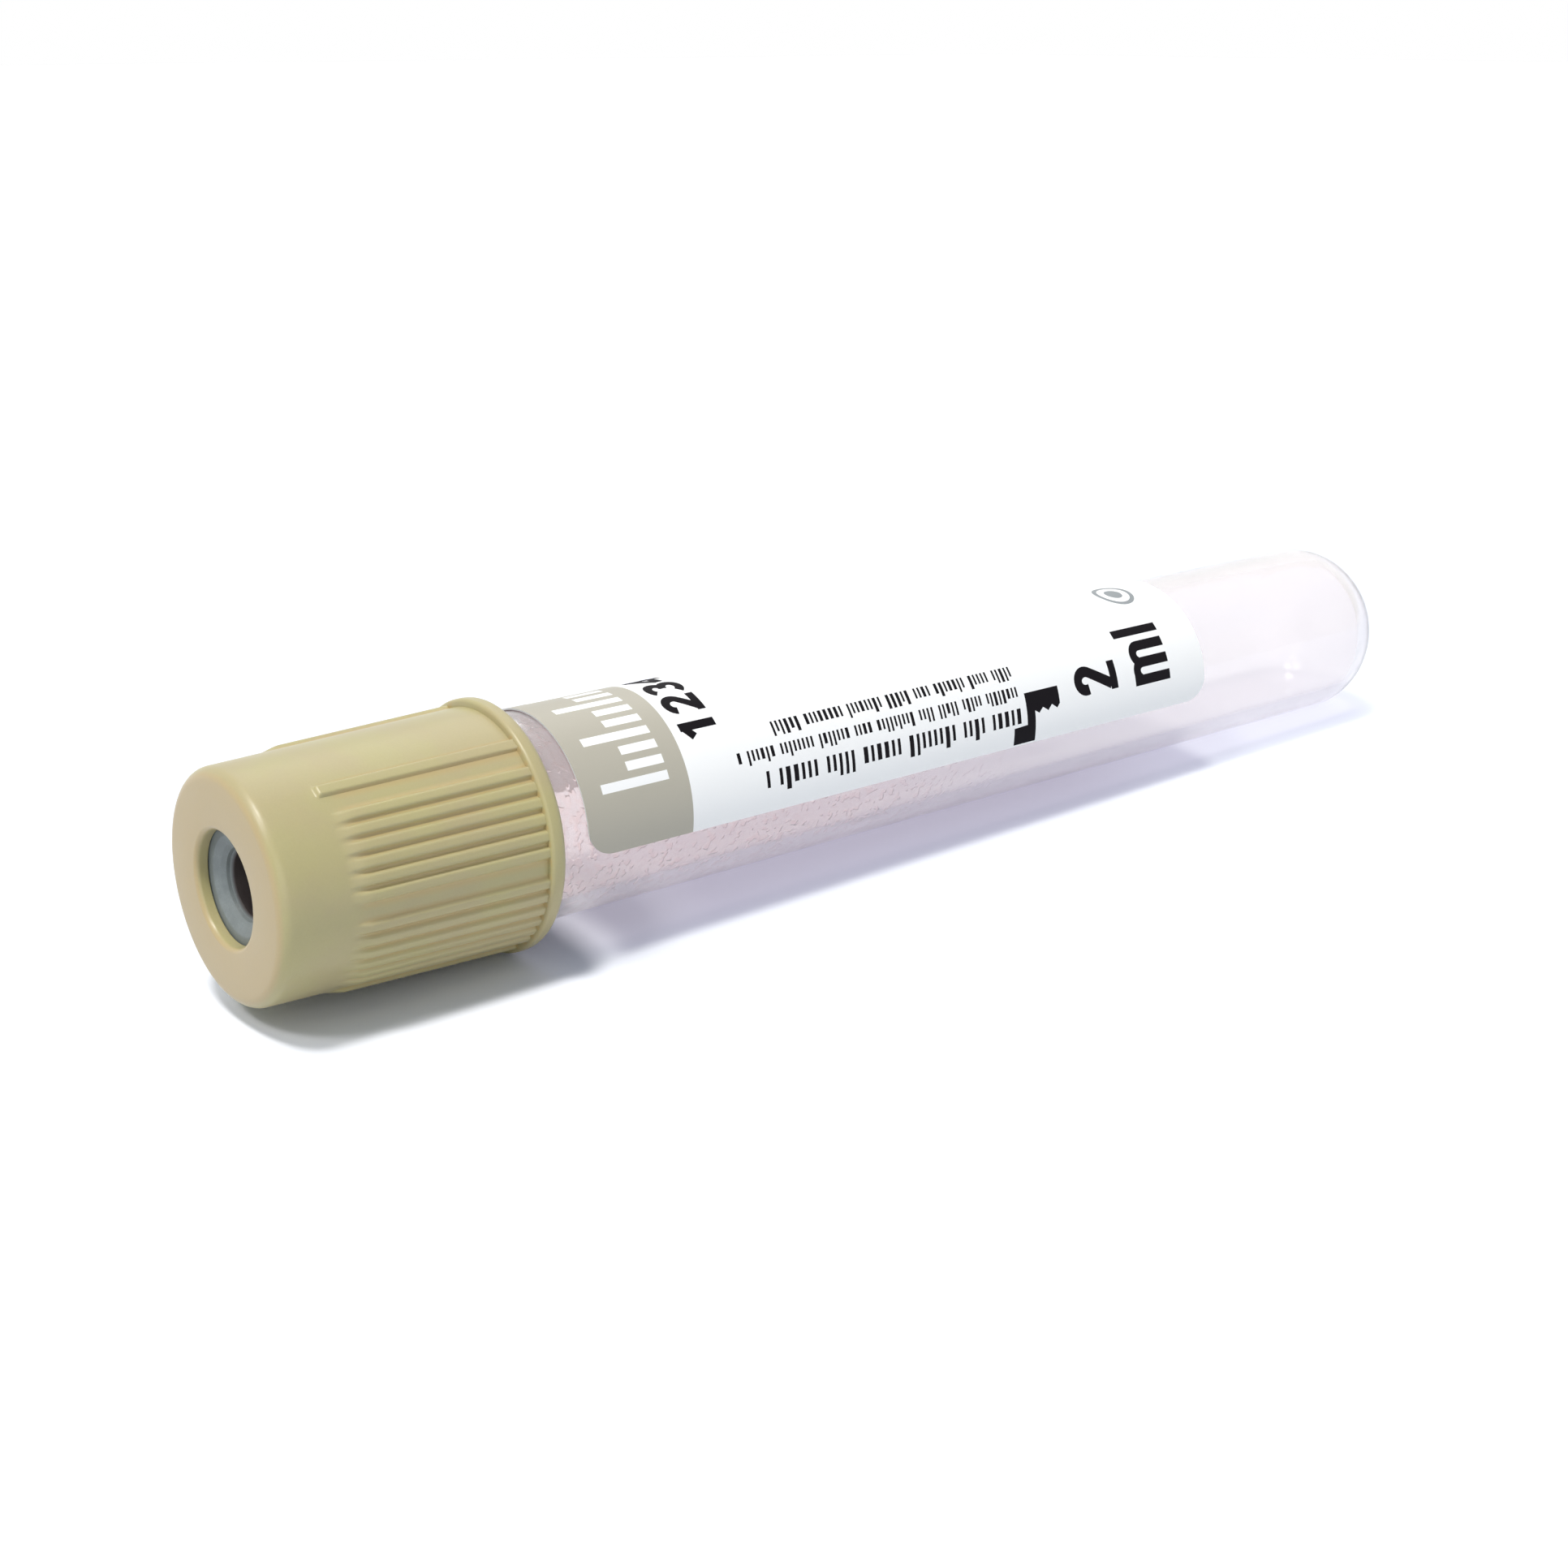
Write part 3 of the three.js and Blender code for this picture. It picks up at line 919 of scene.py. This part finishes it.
# ---------------- closure
@dataclass
class Closure:
    """The rubber stopper and the ribbed cap that holds it, which come off together."""

    axis: TubeAxis
    body: str = "closure"
    length: float = 17.75
    front_radius: float = 6.88
    taper: float = 0.028
    face_wall: float = 0.8
    hole_radius: float = 3.36
    hole_lip: float = 0.32
    skirt_radius: float = 6.62
    pocket_radius: float = 6.4
    head_radius: float = 6.3
    groove_behind: float = 2.6
    groove_width: float = 0.8
    groove_depth: float = 0.7
    plug_radius: float = 5.4
    mouth: float = 5.15
    plug_length: float = 6.0
    bead: float = 0.2
    rim_radius: float = 7.83
    rim_width: float = 1.1
    first_rib: float = 33.0
    rib_pitch: float = 7.5
    rib_height: float = 0.24
    rib_places: tuple[int, ...] = (0, 2, 3, 4, 5, 6, 7, 9, 10, 11, 12, 13, 14, 16)
    rib_rise: Point = (4.0, 5.5)
    rib_flank: Point = (3.5, 1.5)
    lone_rise: Point = (3.9, 4.15)
    lone_flank: Point = (3.6, 2.1)
    rib_reach: float = 3.9
    column_pitch: float = 2.5

    @property
    def groove(self) -> float:
        """The station where the groove round the stopper's head starts."""
        return self.face_wall + self.groove_behind

    @property
    def flange(self) -> float:
        """The station of the step behind the stopper's head."""
        return self.mouth - 0.15

    def rib_angles(self) -> list[float]:
        """The angle of every rib; the pattern repeats on the far half."""
        return [self.first_rib + self.rib_pitch * p + turn for turn in (0, 180) for p in self.rib_places]

    def columns(self) -> list[float]:
        """Angles round the cap, close together on the flanks of the ribs."""
        offsets = (-3.4, -2.9, -2.45, -2.0, -1.5, -0.8, 0.0, 0.8, 1.5, 2.0, 2.45, 2.9, 3.4)
        ribs = {round((rib + d) % 360, 3) for rib in self.rib_angles() for d in offsets}
        between = {round(a, 3) for a in stepped(0, 360, self.column_pitch)[:-1]}
        gaps = {a for a in between if min(apart(a, rib) for rib in self.rib_angles()) > self.rib_reach}
        return sorted(ribs | gaps)

    def cap_radius(self, station: Values) -> Values:
        """The radius of the cap between its ribs."""
        return self.front_radius + self.taper * station

    def rib_relief(self, stations: np.ndarray, degrees: np.ndarray, radii: np.ndarray) -> np.ndarray:
        """How far the ribs stand proud at arrays of places on the cap; the first stands alone."""
        rim = self.length - self.rim_width
        outside = (np.abs(radii - self.cap_radius(stations)) < 0.01) & (stations > 1.0) & (stations < rim)
        height = np.zeros(len(degrees))
        for place, rib in zip(self.rib_places * 2, self.rib_angles()):
            alone = place == self.rib_places[0]
            rise, flank = (self.lone_rise, self.lone_flank) if alone else (self.rib_rise, self.rib_flank)
            proud = smooth_step(*flank, apart(degrees, rib)) * smooth_step(*rise, stations)
            height = np.maximum(height, proud)
        return np.where(outside, height * self.rib_height, 0.0)

    def outline(self) -> Outline:
        """The section of the cap: smooth front, ribbed skirt, raised rim and stepped inside."""
        rim, ridge = self.length - self.rim_width, self.head_radius - 0.55
        front = (1.6, 2.8, 3.6, 3.88, 3.96, 4.04, 4.12, 4.22, 4.4, 4.6, 4.8, 5.0, 5.2, 5.45)
        skirt = [Corner(x, self.cap_radius(x)) for x in (*front, *stepped(6.6, rim - 0.02, 1.2))]
        corners = [
            Corner(self.face_wall, self.hole_radius, 0.08),
            Corner(0.0, self.hole_radius, self.hole_lip),
            Corner(0.0, self.cap_radius(0), 0.75),
            *skirt,
            Corner(rim + 0.02, self.rim_radius - 0.02, 0.3),
            Corner(self.length - 0.02, self.rim_radius, 0.55),
            Corner(self.length, self.skirt_radius, 0.3),
            Corner(self.flange, self.skirt_radius, 0.05),
            Corner(self.flange, self.pocket_radius, 0.05),
            Corner(self.groove + 0.7, self.pocket_radius, 0.05),
            Corner(self.groove + 0.7, ridge, 0.15),
            Corner(self.groove + 0.1, ridge, 0.15),
            Corner(self.groove + 0.1, self.pocket_radius, 0.05),
            Corner(self.face_wall, self.pocket_radius, 0.05),
        ]
        return rounded(corners, closed=True)

    def build_cap(self) -> Piece:
        """Turns the cap with its ribs, and marks the grooves between them for painted shade."""
        cap = turned("ribbed_cap", self.axis, self.outline(), self.columns(), True, self.rib_relief)
        stations, degrees, radii = self.axis.measured(cap)
        nearest = apart(degrees[:, None], np.array(self.rib_angles())[None, :]).min(axis=1)
        beside = smooth_step(2.2, 3.1, nearest) * smooth_step(5.4, 4.4, nearest)
        ribbed = smooth_step(4.2, 5.6, stations) * (stations < self.length - self.rim_width + 0.03)
        outside = radii > self.cap_radius(stations) - 0.02
        # the groove mark says where painted shade falls beside each rib
        mark_points(cap, "groove", beside * ribbed * outside)
        cap.data.materials.append(CapPlastic().material(self.axis))
        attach(cap, self.body)
        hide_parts("cap_shield")
        return cap

    def plug_outline(self) -> list[Corner]:
        """The plug, with two beads that seal it and a hollow in its end."""
        end, low = self.mouth + self.plug_length, self.plug_radius - self.bead
        beads = [
            Corner(self.mouth + start + step, radius, fillet)
            for start in (0.3, 2.6)
            for step, radius, fillet in ((0.0, low, 0.3), (0.6, self.plug_radius, 0.4), (1.2, low, 0.3))
        ]
        return [
            *beads,
            Corner(end - 0.5, self.plug_radius - 0.35, 0.3),
            Corner(end, self.plug_radius - 0.8, 0.2),
            Corner(end, 2.8, 0.25),
            Corner(end - 3.6, 2.2, 0.4),
            Corner(end - 3.6, 0.0),
        ]

    def stopper_outline(self) -> list[Corner]:
        """The section of the stopper: dished port, head with its groove, and the plug."""
        face, head = self.face_wall, self.head_radius
        groove_end = self.groove + self.groove_width
        return [
            Corner(face + 3.8, 0.0),
            Corner(face + 3.8, 1.5, 0.35),
            Corner(face + 0.85, 1.93, 0.08),
            Corner(face + 0.7, 2.12, 0.05),
            Corner(face + 0.5, 2.16, 0.06),
            Corner(face + 0.28, 2.42, 0.12),
            Corner(face + 0.05, 2.9, 0.3),
            Corner(face + 0.05, head, 0.2),
            Corner(self.groove, head, 0.05),
            Corner(self.groove, head - self.groove_depth, 0.12),
            Corner(groove_end, head - self.groove_depth, 0.12),
            Corner(groove_end, head, 0.05),
            Corner(self.flange, head, 0.08),
            Corner(self.flange, self.plug_radius - self.bead, 0.1),
            *self.plug_outline(),
        ]

    def build_stopper(self) -> Piece:
        """Turns the stopper, and marks the inside of its port for painted shade."""
        degrees = stepped(0, 360, self.column_pitch)[:-1]
        outline = rounded(self.stopper_outline(), closed=False)
        stopper = turned("rubber_stopper", self.axis, outline, degrees, closed=False)
        stations, _, radii = self.axis.measured(stopper)
        # the hollow mark says where painted shade falls inside the port
        port = smooth_step(self.face_wall + 0.6, self.face_wall + 0.8, stations) * (radii < 2.1)
        mark_points(stopper, "hollow", port * (stations < self.mouth + self.plug_length - 3.7))
        stopper.data.materials.append(StopperRubber().material())
        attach(stopper, self.body)
        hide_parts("stopper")
        return stopper


# ---------------- studio
def pointed(thing: Piece, place: Vector, way: Vector) -> Piece:
    """Puts a camera or a lamp at a place, looking that way."""
    thing.location = place
    thing.rotation_mode = "QUATERNION"
    thing.rotation_quaternion = way.to_track_quat("-Z", "Y")
    return thing


@dataclass
class Viewpoint:
    """Where the camera stands: angles in degrees, distance in metres to what it looks at."""

    azimuth: float = -39.91
    elevation: float = 19.31
    distance: float = 0.14495
    aim: Vector = field(default_factory=lambda: Vector((-0.00951, 0.0, 0.00524)))
    lens: float = 49.68
    sensor: float = 36.0

    def build(self) -> Piece:
        """Makes the scene's camera."""
        a, e = math.radians(self.azimuth), math.radians(self.elevation)
        back = Vector((math.sin(a) * math.cos(e), -math.cos(a) * math.cos(e), math.sin(e)))
        data = bpy.data.cameras.new("camera")
        data.lens, data.sensor_width = self.lens, self.sensor
        data.clip_start, data.clip_end = 0.01, 20.0
        camera = pointed(placed("camera", data), self.aim + back * self.distance, -back)
        bpy.context.scene.camera = camera
        return camera


@dataclass(frozen=True)
class Softbox:
    """A far lamp with soft edges: the direction to it, its spread in degrees and its strength."""

    name: str
    direction: tuple[float, float, float]
    spread: float
    strength: float
    colour: Colour = (1.0, 1.0, 1.0)

    def build(self) -> Piece:
        """Hangs the lamp."""
        data = bpy.data.lights.new(self.name, "SUN")
        data.angle, data.energy, data.color = math.radians(self.spread), self.strength, self.colour
        data.cycles.use_multiple_importance_sampling = False
        way = Vector(self.direction).normalized()
        return pointed(placed(self.name, data), way, -way)


@dataclass
class Studio:
    """A pale floor, a pale surround, two lamps overhead, and a softer one in front and behind."""

    floor_half: float = 3.0
    floor_colour: Colour = (0.72, 0.75, 0.79)
    surround: Colour = (0.8, 0.91, 1.08)
    overhead: float = 0.42
    horizon: float = 0.14
    floor_white: Colour = (0.94, 0.97, 1.04)

    @staticmethod
    def straight(graph: Graph) -> Signal:
        """1 for what the camera sees, straight or through and in clear plastic, and 0 for light."""
        rays = graph.ray("Is Camera Ray") + graph.ray("Is Transmission Ray") + graph.ray("Is Glossy Ray")
        return rays * (1 - graph.ray("Diffuse Depth").rise(0.0, 1.0))

    def build_floor(self) -> Piece:
        """Lays the floor; seen directly or through the tube it is white, and keeps its shadows."""
        h = self.floor_half
        mesh = bpy.data.meshes.new("floor")
        mesh.from_pydata([(-h, -h, 0), (h, -h, 0), (h, h, 0), (-h, h, 0)], [], [(0, 1, 2, 3)])
        floor = placed("floor", mesh)
        graph = Graph.of_material("pale_floor")
        plain = graph.add("ShaderNodeBsdfDiffuse", {}, {"Color": self.floor_colour})
        seen = graph.add("ShaderNodeBsdfDiffuse", {}, {"Color": self.floor_white})
        mesh.materials.append(graph.finish(graph.mixed(self.straight(graph), plain, seen)))
        return floor

    def build_surround(self) -> None:
        """Lights the scene softly, more from overhead, and is white where it is seen or mirrored."""
        graph = Graph.of_world("surround")
        upward = graph.add("ShaderNodeTexCoord", {}, {}, "Generated").dot((0.0, 0.0, 1.0))
        strength = self.horizon + (self.overhead - self.horizon) * upward.rise(0.25, 0.75)
        soft = graph.add("ShaderNodeBackground", {}, {"Color": self.surround, "Strength": strength})
        white = graph.add("ShaderNodeBackground", {}, {"Color": (1.0, 1.0, 1.0), "Strength": 1.0})
        graph.finish(graph.mixed(self.straight(graph), soft, white))

    def build_lamps(self) -> list[Piece]:
        """Hangs the lamps."""
        main = Softbox("main_softbox", (-0.26, -0.05, 0.96), 10.0, 1.85, (1.0, 0.97, 0.93))
        side = Softbox("cap_side_softbox", (-0.6, -0.06, 0.8), 11.0, 0.85, (1.0, 0.97, 0.93))
        front = Softbox("front_fill", (-0.4, -0.86, 0.26), 50.0, 0.6)
        back = Softbox("back_softbox", (0.4, 0.5, 0.77), 40.0, 0.4, (1.0, 0.98, 0.93))
        return [lamp.build() for lamp in (main, side, front, back)]


def main() -> None:
    """Builds the tube, its label and its closure, then the studio round them."""
    logging.basicConfig(level=logging.INFO, format="%(message)s")
    bpy.context.scene.view_settings.view_transform = "Standard"
    axis = TubeAxis.of_frame()
    Viewpoint().build()
    tube, closure = TubeAndLabel(axis), Closure(axis)
    for build in (tube.build_tube, tube.build_label, closure.build_stopper, closure.build_cap):
        piece = build()
        log.info("%s: %d faces", piece.name, len(piece.data.polygons))
    studio = Studio()
    studio.build_floor()
    studio.build_surround()
    studio.build_lamps()
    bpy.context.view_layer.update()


if __name__ == "__main__":
    main()
